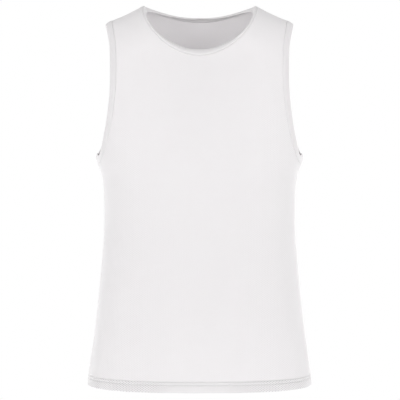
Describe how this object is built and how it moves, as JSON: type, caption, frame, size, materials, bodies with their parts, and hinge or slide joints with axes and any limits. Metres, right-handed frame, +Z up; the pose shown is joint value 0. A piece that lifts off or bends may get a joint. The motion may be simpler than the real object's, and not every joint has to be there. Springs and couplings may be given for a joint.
{
  "type": "mesh training bib",
  "caption": "Sleeveless pull-over training bib of knitted mesh, filled out as worn, with a scooped neck, bound armholes and a turned-up hem.",
  "frame": {"origin": "midway between the wearer's two shoulders, at the level where the cloth rests on them", "axes": "+Z up, the garment's front faces -Y, +X is the wearer's left"},
  "size_m": [0.4106, 0.2378, 0.6952],
  "materials": {
    "mesh": "matt white knitted polyester mesh",
    "binding": "matt white plain knit, doubled"
  },
  "bodies": {
    "root": {"front_panel": "mesh", "back_panel": "mesh", "neck_binding": "binding", "armhole_binding_right": "binding", "armhole_binding_left": "binding"}
  },
  "joints": []
}
